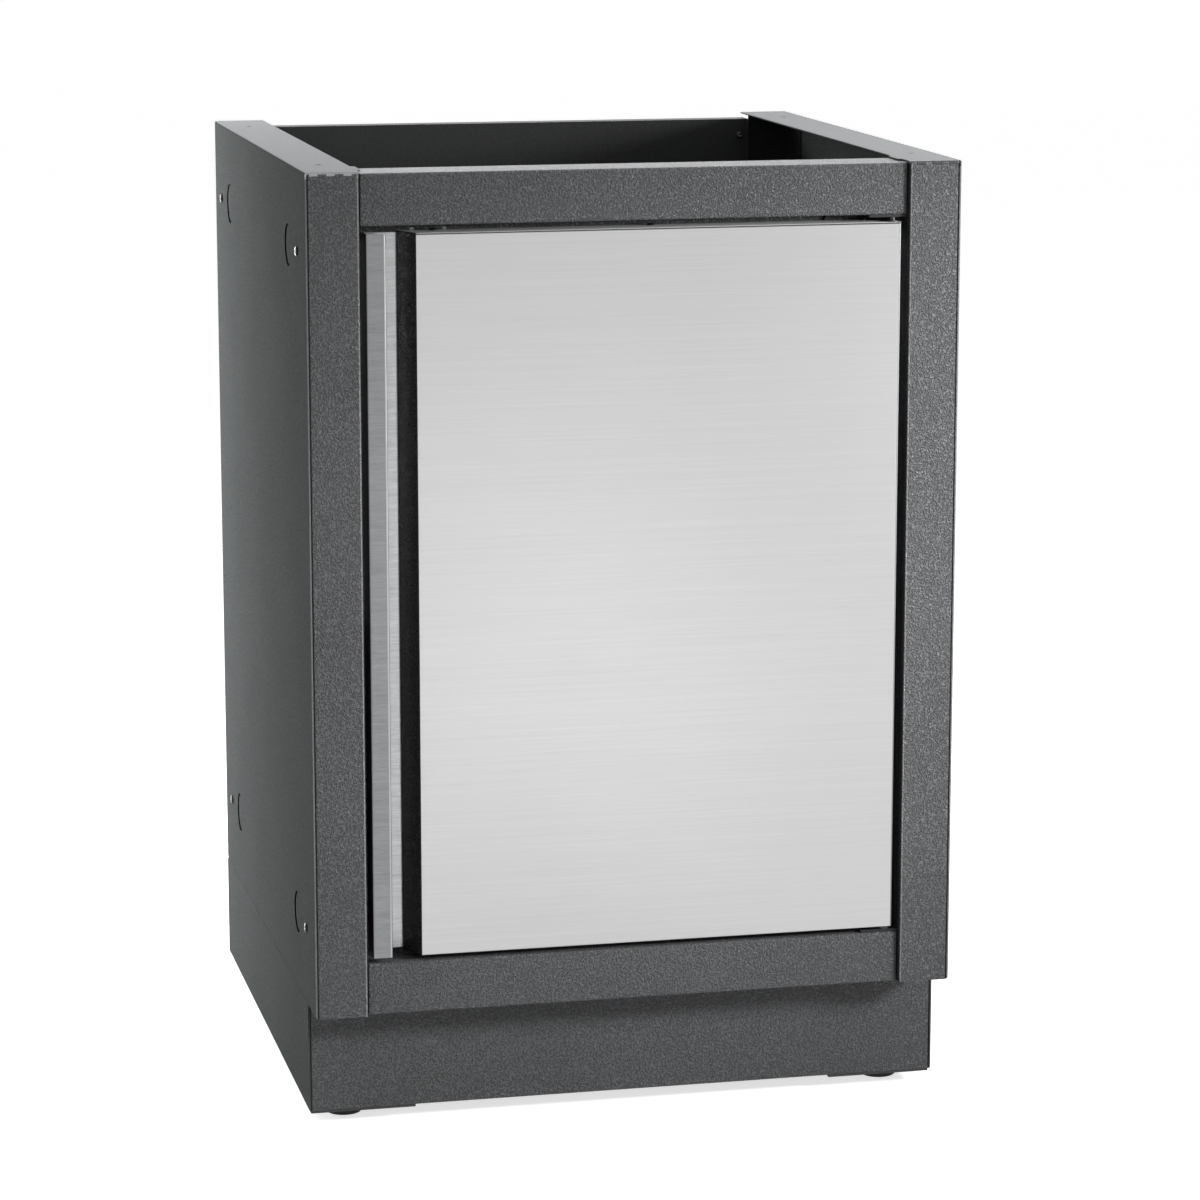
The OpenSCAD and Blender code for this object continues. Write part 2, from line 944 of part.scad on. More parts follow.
// Base side, flush with the side panel, drawn for the left side
module base_side() {
    base_len = y_rear - y_kick;
    end_clear = base_flange + base_gap;
    difference() {
        translate([-half_w, y_kick, z_base])
            stand_side()
                pan(base_len, base_h, [0, 0, base_flange, base_flange], sheet);
        for (y = [y_kick - eps, y_rear - end_clear])
            block(
                [-half_w + sheet, -half_w + base_flange + eps],
                [y, y + end_clear + eps],
                [z_base - eps, z_body + eps]
            );
        at_base_screws()
            screw_hole(screw_m5);
        for (rear = [false, true])
            at_plate(false, rear)
                at_plate_screws()
                    screw_hole(screw_m5);
    }
}

module base_side_left() {
    color("#4b4d4e")
        base_side();
}

module base_side_right() {
    color("#4b4d4e")
        handed(true)
            base_side();
}

// Kick plate between the base sides, folded back on all four edges
module base_front() {
    pan(2 * base_x, base_h, [base_flange, base_flange, base_flange, base_flange], sheet);
}

module kick_plate() {
    color("#505152")
        difference() {
            translate([-base_x, y_kick, z_base])
                stand_back()
                    base_front();
            for (right = [false, true])
                at_plate(right, false)
                    at_plate_screws()
                        screw_hole(screw_m5);
        }
}

module base_rear() {
    color("#4b4d4e")
        difference() {
            translate([-base_x, y_rear, z_base])
                stand_forward()
                    base_front();
            for (right = [false, true])
                at_plate(right, true)
                    at_plate_screws()
                        screw_hole(screw_m5);
        }
}

// Feet

// Foot plate under one corner of the base
module foot_plate(right, rear) {
    color("#2b2c2d")
        difference() {
            at_plate(right, rear)
                block(
                    [plate_inset, plate_inset + foot_plate_w],
                    [plate_inset, plate_inset + foot_plate_w],
                    [z_base - foot_plate_t, z_base]
                );
            at_plate(right, rear) {
                translate([foot_side, foot_end, z_base])
                    cylinder(r = stud_bore_r, h = 4 * foot_plate_t, center = true);
                at_plate_screws()
                    screw_hole(screw_m5);
            }
        }
}

module foot_plate_front_left() foot_plate(false, false);
module foot_plate_front_right() foot_plate(true, false);
module foot_plate_rear_left() foot_plate(false, true);
module foot_plate_rear_right() foot_plate(true, true);

// Hexagonal weld nuts on the foot plates
module foot_nuts() {
    color("#9a9c9e")
        for (right = [false, true], rear = [false, true])
            at_plate(right, rear)
                translate([foot_side, foot_end, z_base])
                    difference() {
                        cylinder(d = nut_across / cos(30), h = nut_h, $fn = 6);
                        translate([0, 0, -eps])
                            cylinder(r = stud_bore_r, h = nut_h + 2 * eps);
                    }
}

stud_root = 6;
pad_rim_h = 5;
pad_edge = 1;
pad_neck_d = 24;

// Threaded stud of one foot, with its lower end moulded into the pad
module foot_stud(right, rear) {
    color("#a5a7a9")
        at_plate(right, rear)
            translate([foot_side, foot_end, pad_h - stud_root])
                cylinder(d = stud_d, h = stud_root + stud_len);
}

module foot_stud_front_left() foot_stud(false, false);
module foot_stud_front_right() foot_stud(true, false);
module foot_stud_rear_left() foot_stud(false, true);
module foot_stud_rear_right() foot_stud(true, true);

// Moulded pad of one foot: a wide disc with a neck
module foot_pad(right, rear) {
    color("#1c1c1d")
        at_plate(right, rear)
            translate([foot_side, foot_end, 0])
                difference() {
                    rotate_extrude()
                        polygon([
                            [0, 0],
                            [pad_d / 2 - pad_edge, 0],
                            [pad_d / 2, pad_edge],
                            [pad_d / 2, pad_rim_h - pad_edge],
                            [pad_d / 2 - pad_edge, pad_rim_h],
                            [pad_neck_d / 2, pad_rim_h + pad_edge],
                            [pad_neck_d / 2, pad_h - pad_edge],
                            [pad_neck_d / 2 - pad_edge, pad_h],
                            [0, pad_h]
                        ]);
                    translate([0, 0, pad_h - stud_root - fit])
                        cylinder(r = stud_d / 2 + fit, h = stud_root + fit + eps);
                }
}

module foot_pad_front_left() foot_pad(false, false);
module foot_pad_front_right() foot_pad(true, false);
module foot_pad_rear_left() foot_pad(false, true);
module foot_pad_rear_right() foot_pad(true, true);

// Door

// Plan of the space to the right of the grip's wall, set in by an amount
function grip_line_x(v) = slot_far - (slot_far - floor_end) * (v - skin) / (slot_depth - skin);

// Front sheet with its top, bottom and hinge-side folds
module door_skin() {
    x_edge = x_door + slot_far;
    skin_w = door_w - slot_far;
    fold_from = grip_t + 3 * fit;
    lean = atan2(slot_far - floor_end, slot_depth - skin);
    color("#c9cacb")
        difference() {
            union() {
                translate([x_edge, y_door, z_door_bottom])
                    stand_back()
                        pan(skin_w, door_h, [0, door_t, door_t, door_t], skin);
                // The folds run on to the left, behind the grip
                for (z = [z_door_bottom, z_door_top - skin])
                    translate([x_door, y_door, z])
                        linear_extrude(skin)
                            polygon([
                                [slot_far + bend, skin + bend],
                                [grip_line_x(skin + bend) + fold_from / cos(lean), skin + bend],
                                [grip_line_x(slot_depth) + fold_from / cos(lean), slot_depth],
                                [floor_run + eps, slot_depth],
                                [floor_run + eps, door_t],
                                [slot_far + bend, door_t]
                            ]);
            }
            at_liner_screws()
                screw_hole(screw_m4);
            for (lower = [false, true])
                at_hinge(lower)
                    translate([pivot_x, pivot_y, 0])
                        cylinder(r = bush_r + fit, h = 6 * door_gap_top, center = true);
        }
}

// Inner cover of the door: its edges fold forward inside the skin, and its free
// side lies flat on the back of the finger pull
module door_liner() {
    edge = skin + fit;
    no_fold_w = slot_far + grip_lip + base_gap;
    color("#b5b6b8")
        difference() {
            translate([x_door, y_door_back, z_door_bottom + edge])
                stand_forward()
                    pan(
                        door_w - edge, door_h - 2 * edge,
                        [0, liner_fold, liner_fold, liner_fold],
                        liner
                    );
            // No fold where the finger pull reaches the top and the bottom
            for (z = [z_door_bottom, z_door_top - edge - liner - fold_r])
                block(
                    [x_door - eps, x_door + no_fold_w],
                    [y_door, y_door_back - liner],
                    [z, z + edge + liner + fold_r]
                );
            at_liner_screws()
                screw_hole(screw_m4);
        }
}

// Folded pull: the strip with its turned-in edge, the door's free side and the
// slot's floor in one sheet, open behind the strip for the fingers
module door_pull() {
    mid = skin / 2;
    path = [
        [pull_strip - mid, pull_return],
        [pull_strip - mid, mid],
        [mid, mid],
        [mid, slot_depth + mid],
        [floor_run, slot_depth + mid]
    ];
    color("#bcbdbf")
        difference() {
            translate([x_door, y_door, z_door_bottom])
                linear_extrude(door_h)
                    polygon(fold_outline(path, skin, fold_r));
            // The slot's floor stops short at both ends
            for (z = [
                [z_door_bottom - eps, z_door_bottom + floor_short_bottom],
                [z_door_top - floor_short_top, z_door_top + eps]
            ])
                block(
                    [x_door + skin + fold_r, x_door + floor_run + eps],
                    [y_door + slot_depth - fold_r, y_door_back + eps],
                    z
                );
        }
}

// Moulded grip: the slot's slanted wall, with a lip behind the skin and one on
// the slot's floor
module door_grip() {
    half = grip_t / 2;
    end_clear = skin + 2 * fit;
    v_front = skin + fit + half;
    v_floor = slot_depth - fit - half;
    lean = atan2(slot_far - floor_end, slot_depth - skin);
    path = [
        [slot_far + grip_lip, v_front],
        [grip_line_x(v_front) + half / cos(lean), v_front],
        [grip_line_x(v_floor) + half / cos(lean), v_floor],
        [floor_run - grip_end_gap, v_floor]
    ];
    wall_room = half + fit;
    color("#141414")
        difference() {
            translate([x_door, y_door, z_door_bottom])
                linear_extrude(door_h)
                    polygon(fold_outline(path, grip_t, fold_r));
            // Both lips stop short of the skin's folds, the wall does not
            for (z = [z_door_bottom - eps, z_door_top - end_clear]) {
                translate([x_door, y_door, z])
                    linear_extrude(end_clear + eps)
                        polygon([
                            [grip_line_x(0) + 2 * wall_room / cos(lean), 0],
                            [slot_far + grip_lip + eps, 0],
                            [slot_far + grip_lip + eps, door_t],
                            [grip_line_x(door_t) + 2 * wall_room / cos(lean), door_t]
                        ]);
            }
        }
}

// Hinge parts, drawn for the upper hinge: z = 0 is the rail's lower face

// Stiffening plate inside the door, under its top or bottom fold
module hinge_plate(lower) {
    gap = lower ? door_gap_bottom : door_gap_top;
    top = -gap - skin - fit;
    color("#8f9193")
        at_hinge(lower)
            difference() {
                block(
                    [door_w / 2 - skin - fit - hinge_plate_w, door_w / 2 - skin - fit],
                    [y_door + skin + fit, y_door + skin + fit + hinge_plate_d],
                    [top - hinge_plate_t, top]
                );
                translate([pivot_x, pivot_y, top])
                    cylinder(r = bush_r + fit, h = 4 * hinge_plate_t, center = true);
            }
}

module hinge_plate_upper() hinge_plate(false);
module hinge_plate_lower() hinge_plate(true);

// Flanged bush in the door that turns on the pin. The lower one's flange is
// thick and carries the door on the bracket.
module hinge_bush(lower) {
    gap = lower ? door_gap_bottom : door_gap_top;
    flange_t = lower ? gap - bracket_t - foot_clear : bush_flange_t;
    body_len = skin + 2 * fit + hinge_plate_t;
    color("#e6e4dc")
        at_hinge(lower)
            translate([pivot_x, pivot_y, -gap])
                difference() {
                    union() {
                        cylinder(d = bush_flange_d, h = flange_t);
                        translate([0, 0, -body_len])
                            cylinder(r = bush_r, h = body_len + flange_t / 2);
                    }
                    translate([0, 0, -body_len - eps])
                        cylinder(r = pin_r + pin_play, h = body_len + flange_t + 2 * eps);
                }
}

module hinge_bush_upper() hinge_bush(false);
module hinge_bush_lower() hinge_bush(true);

// Pin fixed in the bracket
module hinge_pin(lower) {
    gap = lower ? door_gap_bottom : door_gap_top;
    color("#d0d1d3")
        at_hinge(lower)
            translate([pivot_x, pivot_y, -gap - pin_reach])
                cylinder(r = pin_r, h = pin_reach + gap);
}

module hinge_pin_upper() hinge_pin(false);
module hinge_pin_lower() hinge_pin(true);

// Bracket that lies against the rail and holds the pin
module hinge_bracket(lower) {
    color("#c4c6c8")
        at_hinge(lower)
            difference() {
                block(bracket_x, bracket_y, [-bracket_t, 0]);
                translate([pivot_x, pivot_y, 0])
                    cylinder(r = pin_r + pin_play, h = 4 * bracket_t, center = true);
                at_bracket_screws()
                    screw_hole(screw_m4);
            }
}

module hinge_bracket_upper() hinge_bracket(false);
module hinge_bracket_lower() hinge_bracket(true);

// Catch and stops

z_catch = z_opening_top - stop_h - catch_gap;
y_catch = y_door_back + strike_t + catch_gap;
magnet_w = 30;
magnet_h = 8;
magnet_d = 8;

// Moulded catch body under the door stop, with an ear behind the stop
module catch_body() {
    color("#202022")
        difference() {
            union() {
                block(
                    [catch_x, catch_x + catch_w],
                    [y_catch + fit, y_catch + catch_d],
                    [z_catch - catch_h, z_catch]
                );
                block(
                    [catch_x, catch_x + catch_w],
                    [y_stop + sheet, y_stop + sheet + catch_ear_t],
                    [z_catch - eps, z_opening_top - fit]
                );
            }
            block(
                [catch_x + (catch_w - magnet_w) / 2 - fit, catch_x + (catch_w + magnet_w) / 2 + fit],
                [y_catch - eps, y_catch + magnet_d + fit],
                [z_catch - (catch_h + magnet_h) / 2 - fit, z_catch - (catch_h - magnet_h) / 2 + fit]
            );
            at_catch_screws()
                screw_hole(screw_m4);
        }
}

// Magnet held in the catch body
module catch_magnet() {
    color("#6a6c70")
        block(
            [catch_x + (catch_w - magnet_w) / 2, catch_x + (catch_w + magnet_w) / 2],
            [y_catch, y_catch + magnet_d],
            [z_catch - (catch_h + magnet_h) / 2, z_catch - (catch_h - magnet_h) / 2]
        );
}

// Steel strike plate on the back of the door
module catch_strike() {
    color("#b9bbbd")
        block(
            [catch_x, catch_x + catch_w],
            [y_door_back, y_door_back + strike_t],
            [z_catch - catch_h, z_catch]
        );
}

// Rubber bumpers on the door stops
module door_bumpers() {
    color("#222222")
        for (p = bumper_places)
            translate(p)
                rotate([90, 0, 0])
                    cylinder(d = bumper_d, h = stop_gap - catch_gap);
}

// Fasteners

module side_screws() {
    color("#8c8e90")
        for (right = [false, true])
            handed(right)
                at_side_screws()
                    screw(screw_m5, side_screw_len);
}

module rail_screws() {
    color("#8c8e90")
        for (right = [false, true])
            handed(right)
                at_rail_screws()
                    screw(screw_m5, rail_screw_len);
}

module back_screws() {
    color("#b4b6b8")
        for (right = [false, true])
            handed(right)
                at_back_screws()
                    screw(screw_m4, back_screw_len);
}

module base_screws() {
    color("#8c8e90")
        for (right = [false, true])
            handed(right)
                at_base_screws()
                    screw(screw_m5, 3 * sheet + fit);
}

module foot_plate_screws() {
    color("#8c8e90")
        for (right = [false, true], rear = [false, true])
            at_plate(right, rear)
                at_plate_screws()
                    screw(screw_m5, foot_plate_t + sheet);
}

module shelf_screws() {
    color("#8c8e90")
        for (right = [false, true])
            handed(right)
                at_shelf_screws()
                    screw(screw_m5, 2 * sheet + fit);
}

module liner_screws() {
    color("#8c8e90")
        at_liner_screws()
            screw(screw_m4, liner_screw_len);
}

module bracket_screws() {
    color("#8c8e90")
        for (lower = [false, true])
            at_hinge(lower)
                at_bracket_screws()
                    screw(screw_m4, bracket_t + sheet + screw_end);
}

module catch_screws() {
    color("#8c8e90")
        at_catch_screws()
            screw(screw_m4, catch_ear_t + sheet);
}

side_panel_left();
side_panel_right();
front_post_left();
front_post_right();
rear_post_left();
rear_post_right();
top_rail();
bottom_rail();
back_panel();
floor_panel();
shelf();
shelf_rail_left();
shelf_rail_right();
base_side_left();
base_side_right();
kick_plate();
base_rear();
foot_plate_front_left();
foot_plate_front_right();
foot_plate_rear_left();
foot_plate_rear_right();
foot_nuts();
foot_stud_front_left();
foot_stud_front_right();
foot_stud_rear_left();
foot_stud_rear_right();
foot_pad_front_left();
foot_pad_front_right();
foot_pad_rear_left();
foot_pad_rear_right();
door_skin();
door_liner();
door_pull();
door_grip();
hinge_plate_upper();
hinge_plate_lower();
hinge_bush_upper();
hinge_bush_lower();
hinge_pin_upper();
hinge_pin_lower();
hinge_bracket_upper();
hinge_bracket_lower();
catch_body();
catch_magnet();
catch_strike();
door_bumpers();
side_screws();
rail_screws();
back_screws();
base_screws();
foot_plate_screws();
shelf_screws();
liner_screws();
bracket_screws();
catch_screws();
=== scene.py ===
"""Looks for the outdoor kitchen cabinet: hammer-finish painted frame, brushed stainless door."""

import math

import bpy
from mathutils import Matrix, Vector

# The camera that matches the photograph, in metres in the model's frame
CAMERA_AT = Vector((-0.8516, -3.9013, 1.2281))
CAMERA_LOOKS_AT = Vector((0.0331, 0.0, 0.4427))
CAMERA_LENS_MM = 122.5
CAMERA_SENSOR_MM = 36.0

# Where a tone sets in and where it is full, in metres in the model's frame.
# Heights: top faces of the side panels and of the rails, with a painted sheen, the tongues, with
# a painted highlight on the left ones, the door's bend, with painted shade, and its fold, with a
# painted highlight
SIDE_TOP_M = (0.9012, 0.9018)
RAIL_TOP_M = (0.8992, 0.8998)
TONGUE_M = (0.896, 0.8965)
DOOR_TOP_BEND_M = (0.8436, 0.8441)
DOOR_FOLD_M = (0.845, 0.8452)

# Depths, from the back to the front: behind the pull's strip, which is painted darker as
# painted shade, the faces of posts and rails, the door's face, the side panels' front edges,
# which get a painted highlight
BEHIND_STRIP_M = (-0.293, -0.292)
FACES_M = (-0.291, -0.292)
DOOR_FACE_M = (-0.298, -0.2984)
PANEL_EDGE_M = (-0.3046, -0.3048)

# Across: the bend at the door's right edge, which gets painted shade, the left panel, and the
# seam at the side panels, which gets painted shade, by its distance from the middle
DOOR_SIDE_BEND_M = (0.2478, 0.2483)
LEFT_PANEL_M = (0.001, 0.0)
SIDE_SEAM_M = (0.3018, 0.3022)

# Lines, from side to side in metres: the right bend of the pull's strip, with a painted
# highlight, and by their distance from the middle the seams between posts and rails, with painted
# shade, and the posts' bends beside them, with a painted highlight
STRIP_BEND_M = (-0.2338, -0.2322)
RAIL_SEAM_M = (0.2544, 0.2568)
POST_BEND_M = (0.2568, 0.2582)
LINE_SOFT_M = 0.0003

# The slits round the side panels' knock-outs, which get painted shade, in metres: their inner and
# outer radius, how softly they fade, and how far the four rings lie from the middle between them
KNOCKOUT_SLIT_M = (0.0182, 0.0197)
KNOCKOUT_SOFT_M = 0.0002
KNOCKOUT_MIDDLE_M = {"Y": 0.0, "Z": 0.511}
KNOCKOUT_OUT_M = {"Y": 0.198, "Z": 0.316}

# The floor's glow is left out between these lines, as a painted shadow under the base, in metres
SHADE_SIDE_M = 0.285
SHADE_FRONT_M = -0.19
SHADE_REAR_M = 0.275
SHADE_SOFT_M = 0.02

# Hammer finish: how many worms and pebbles stand in a metre, and how rough its top faces are
WORMS_PER_M = 540.0
PEBBLES_PER_M = 680.0
TOP_ROUGH = 0.42

# How far the rounded normal agrees with the true one, 1 being fully: at least the first on a
# flat face, and at most the second on an edge fully lightened for wear and a painted sheen
FLAT_AGREES = 0.97
EDGE_AGREES = 0.85

# Colours of single lines, edges and folds, most of them painted shade or painted highlights
SLIT_SHADE = "#141515"
SEAM_SHADE = "#151616"
POST_BEND_HIGHLIGHT = "#88898a"
PANEL_EDGE_HIGHLIGHT = "#747677"
TONGUE_HIGHLIGHT = "#b4b6b7"
DARK_TONGUE = "#505153"
STRIP_DARK = "#78797a"
STRIP_LIGHT = "#909192"
STRIP_BEND_HIGHLIGHT = "#a8a9aa"
DOOR_SIDE_BEND_SHADE = "#77787a"
DOOR_TOP_BEND_SHADE = "#4a4b4c"
DOOR_FOLD_HIGHLIGHT = "#e9eaea"
WORN_STEEL = "#dcdddd"
WORN_PLATING = "#e4e5e6"

FRONT_PAINTED = [
    "front_post_left",
    "front_post_right",
    "top_rail",
    "bottom_rail",
    "kick_plate",
]
SIDE_PAINTED = [
    "side_panel_left",
    "side_panel_right",
    "base_side_left",
    "base_side_right",
    "base_rear",
]
INNER_PAINTED = [
    "rear_post_left",
    "rear_post_right",
    "back_panel",
    "floor_panel",
    "shelf",
    "shelf_rail_left",
    "shelf_rail_right",
    "hinge_bracket_upper",
    "hinge_bracket_lower",
]
CORNERS = ["front_left", "front_right", "rear_left", "rear_right"]


def srgb(code):
    """A colour written as in a picture, such as "#4b4d4e", as linear values."""
    levels = [int(code[i : i + 2], 16) / 255 for i in (1, 3, 5)]
    return tuple(
        v / 12.92 if v < 0.04045 else ((v + 0.055) / 1.055) ** 2.4 for v in levels
    ) + (1.0,)


class Look:
    """A material's node tree, with short calls to add and join nodes."""

    def __init__(self, name):
        self.material = bpy.data.materials.new(name)
        self.material.use_nodes = True
        self.tree = self.material.node_tree
        self.tree.nodes.clear()
        self.shader = self.node("ShaderNodeBsdfPrincipled")
        out = self.node("ShaderNodeOutputMaterial")
        self.join(self.shader.outputs["BSDF"], out.inputs["Surface"])

    def node(self, kind, **settings):
        made = self.tree.nodes.new(kind)
        for key, value in settings.items():
            setattr(made, key, value)
        return made

    def join(self, source, target):
        self.tree.links.new(source, target)

    def place(self, scale=(1.0, 1.0, 1.0)):
        """The point on the piece, in metres, stretched by scale."""
        point = self.node("ShaderNodeTexCoord")
        mapping = self.node("ShaderNodeMapping")
        mapping.inputs["Scale"].default_value = scale
        self.join(point.outputs["Object"], mapping.inputs["Vector"])
        return mapping.outputs["Vector"]

    def axis(self, key):
        """One coordinate of the point on the piece, in metres."""
        parts = self.node("ShaderNodeSeparateXYZ")
        self.join(self.place(), parts.inputs["Vector"])
        return parts.outputs[key]

    def past(self, key, ends):
        """Zero before the first of two places on an axis, one past the second.

        The first may be the greater one.
        """
        if ends[0] < ends[1]:
            return self.spread(self.axis(key), *ends)
        return self.spread(self.axis(key), *reversed(ends), 1.0, 0.0)

    def noise(self, scale, detail=2.0, roughness=0.5, distortion=0.0, stretch=(1, 1, 1)):
        made = self.node("ShaderNodeTexNoise")
        made.inputs["Scale"].default_value = scale
        made.inputs["Detail"].default_value = detail
        made.inputs["Roughness"].default_value = roughness
        made.inputs["Distortion"].default_value = distortion
        self.join(self.place(stretch), made.inputs["Vector"])
        return made.outputs["Fac"]

    def spread(self, value, low, high, to_low=0.0, to_high=1.0):
        """Maps low..high to to_low..to_high, held at both ends."""
        made = self.node("ShaderNodeMapRange")
        made.inputs["From Min"].default_value = low
        made.inputs["From Max"].default_value = high
        made.inputs["To Min"].default_value = to_low
        made.inputs["To Max"].default_value = to_high
        self.join(value, made.inputs["Value"])
        return made.outputs["Result"]

    def calc(self, a, b, operation="ADD"):
        """A sum, product or the like of two numbers or sockets."""
        made = self.node("ShaderNodeMath", operation=operation)
        for value, socket in zip((a, b), made.inputs):
            if isinstance(value, (int, float)):
                socket.default_value = value
            else:
                self.join(value, socket)
        return made.outputs[0]

    def between(self, value, low, high, soft):
        """One where the value lies from low to high, zero outside, soft at both ends."""
        rise = self.spread(value, low, low + soft)
        fall = self.spread(value, high - soft, high, 1.0, 0.0)
        return self.calc(rise, fall, "MULTIPLY")

    def knockout_slit_shade(self):
        """One in the slits round the side panels' knock-outs, where the painted shade goes."""
        squares = []
        for key, middle in KNOCKOUT_MIDDLE_M.items():
            off = self.calc(self.calc(self.axis(key), middle, "SUBTRACT"), 0.0, "ABSOLUTE")
            folded = self.calc(off, KNOCKOUT_OUT_M[key], "SUBTRACT")
            squares.append(self.calc(folded, folded, "MULTIPLY"))
        radius = self.calc(self.calc(squares[0], squares[1]), 0.5, "POWER")
        return self.between(radius, *KNOCKOUT_SLIT_M, KNOCKOUT_SOFT_M)

    def mix(self, share, dark, light):
        """A colour between dark and light; each is a colour or a socket."""
        made = self.node("ShaderNodeMix", data_type="RGBA")
        self.join(share, made.inputs["Factor"])
        for value, key in ((dark, "A"), (light, "B")):
            socket = [s for s in made.inputs if s.name == key and s.type == "RGBA"][0]
            if isinstance(value, tuple):
                socket.default_value = value
            else:
                self.join(value, socket)
        return [s for s in made.outputs if s.type == "RGBA"][0]

    def mix_value(self, share, low, high):
        """A number that goes from low to high as share goes from 0 to 1."""
        return self.spread(share, 0.0, 1.0, low, high)

    def rounded(self, radius_m):
        """The normal with the edges rounded to radius_m."""
        made = self.node("ShaderNodeBevel", samples=4)
        made.inputs["Radius"].default_value = radius_m
        return made.outputs["Normal"]

    def bump(self, height, depth_m, strength, edge_m):
        """The normal of a relief of depth_m, with the edges rounded to edge_m."""
        made = self.node("ShaderNodeBump")
        made.inputs["Strength"].default_value = strength
        made.inputs["Distance"].default_value = depth_m
        self.join(height, made.inputs["Height"])
        self.join(self.rounded(edge_m), made.inputs["Normal"])
        return made.outputs["Normal"]

    def edges(self, radius_m):
        """One on an edge, where wear and a painted sheen lighten the colour, zero on a flat face.
        """
        flat = self.node("ShaderNodeNewGeometry")
        dot = self.node("ShaderNodeVectorMath", operation="DOT_PRODUCT")
        self.join(self.rounded(radius_m), dot.inputs[0])
        self.join(flat.outputs["Normal"], dot.inputs[1])
        return self.spread(dot.outputs["Value"], FLAT_AGREES, EDGE_AGREES)

    def wear_and_sheen(self, radius_m, share):
        """As edges, but no more than share."""
        return self.calc(self.edges(radius_m), share, "MULTIPLY")

    def set(self, **values):
        """Sets or joins the shader's inputs, and gives the finished material."""
        for key, value in values.items():
            socket = self.shader.inputs[key.replace("_", " ")]
            if isinstance(value, (int, float, tuple)):
                socket.default_value = value
            else:
                self.join(value, socket)
        return self.material


def panel_marks(look, coat):
    """The side panels' painted shade in the slits round the knock-outs, and a painted highlight
    on their cut edges at the front.

    The tongues of the left panel get a pale painted highlight, those of the right one a darker
    tone.
    """
    # Painted shade in the slits round the knock-outs
    coat = look.mix(look.knockout_slit_shade(), coat, srgb(SLIT_SHADE))
    # The left panel's tongues get a pale painted highlight, the right one's a darker tone like
    # the post's paint
    tongue = look.mix(look.past("X", LEFT_PANEL_M), srgb(DARK_TONGUE), srgb(TONGUE_HIGHLIGHT))
    # The panel's front edge gets a painted highlight
    edge = look.mix(look.past("Z", TONGUE_M), srgb(PANEL_EDGE_HIGHLIGHT), tongue)
    return look.mix(look.past("Y", PANEL_EDGE_M), coat, edge)


def front_seams(look, coat):
    """The front's seams, darkened as painted shade, and a painted highlight on a post's bend
    beside the rails.
    """
    across = look.calc(look.axis("X"), 0.0, "ABSOLUTE")
    front = look.past("Y", FACES_M)
    # A painted highlight along the posts' bends
    bend = look.calc(look.between(across, *POST_BEND_M, LINE_SOFT_M), front, "MULTIPLY")
    # Painted shade in the seams between posts and rails, and at the side panels
    seam = look.calc(look.between(across, *RAIL_SEAM_M, LINE_SOFT_M), front, "MULTIPLY")
    side = look.spread(across, *SIDE_SEAM_M)
    coat = look.mix(bend, coat, srgb(POST_BEND_HIGHLIGHT))
    return look.mix(look.calc(seam, side, "MAXIMUM"), coat, srgb(SEAM_SHADE))


def hammer_paint(name, dark, light, edge, top_sheen_colour, top_ends, relief_m, rough, gloss, marks):
    """Powder coat with a fine pebbled, wormy relief; faces at the worktop's level are painted
    lighter, as a painted sheen.

    marks adds the painted shade and painted highlight lines that belong to these pieces.
    """
    look = Look(name)
    worms = look.noise(WORMS_PER_M, detail=1.0, roughness=0.4, distortion=0.9)
    pebbles = look.node("ShaderNodeTexVoronoi", feature="SMOOTH_F1")
    pebbles.inputs["Scale"].default_value = PEBBLES_PER_M
    pebbles.inputs["Smoothness"].default_value = 0.5
    look.join(look.place(), pebbles.inputs["Vector"])
    height = look.calc(
        look.spread(worms, 0.4, 0.6),
        look.spread(pebbles.outputs["Distance"], 0.1, 0.7, 0.35, 0.0),
    )
    tone = look.spread(height, 0.1, 1.15)
    patches = look.spread(look.noise(9.0, detail=3.0), 0.3, 0.7, -0.12, 0.12)
    coat = look.mix(look.calc(tone, patches), srgb(dark), srgb(light))
    # Edges are lightened for wear and a painted sheen
    coat = look.mix(look.wear_and_sheen(radius_m=0.0009, share=0.5), coat, srgb(edge))
    coat = marks(look, coat)
    # Top faces get a lighter colour: a painted sheen
    top = look.past("Z", top_ends)
    return look.set(
        Base_Color=look.mix(top, coat, srgb(top_sheen_colour)),
        Roughness=look.calc(
            look.mix_value(top, rough, TOP_ROUGH), look.mix_value(tone, 0.04, -0.04)
        ),
        Normal=look.bump(height, relief_m, strength=1.0, edge_m=0.0007),
        Specular_IOR_Level=gloss,
    )


def inner_paint(name, dark, light):
    """Smoother powder coat of the inner sheets."""
    look = Look(name)
    grain = look.noise(380.0, detail=2.0, distortion=0.3)
    dust = look.spread(look.noise(6.0, detail=4.0), 0.35, 0.75, 0.0, 0.5)
    share = look.calc(look.spread(grain, 0.3, 0.7, 0.0, 0.5), dust)
    return look.set(
        Base_Color=look.mix(share, srgb(dark), srgb(light)),
        Roughness=look.spread(grain, 0.3, 0.7, 0.62, 0.5),
        Normal=look.bump(grain, 0.00012, strength=0.6, edge_m=0.0006),
        Specular_IOR_Level=0.25,
    )


def plain_tone(look, lines, body):
    """Steel all over; gives the colour and how metallic it is, as the other tones do."""
    return body, 1.0


def strip_tone(look, lines, body):
    """The pull's strip is painted darker than the slot's floor, as painted shade, with a painted
    highlight along its bend.
    """
    # The strip is painted darker, as painted shade
    strip = look.mix(lines, srgb(STRIP_DARK), srgb(STRIP_LIGHT))
    # A painted highlight along the strip's bend
    bend = look.between(look.axis("X"), *STRIP_BEND_M, LINE_SOFT_M)
    strip = look.mix(bend, strip, srgb(STRIP_BEND_HIGHLIGHT))
    return look.mix(look.past("Y", BEHIND_STRIP_M), strip, body), 1.0


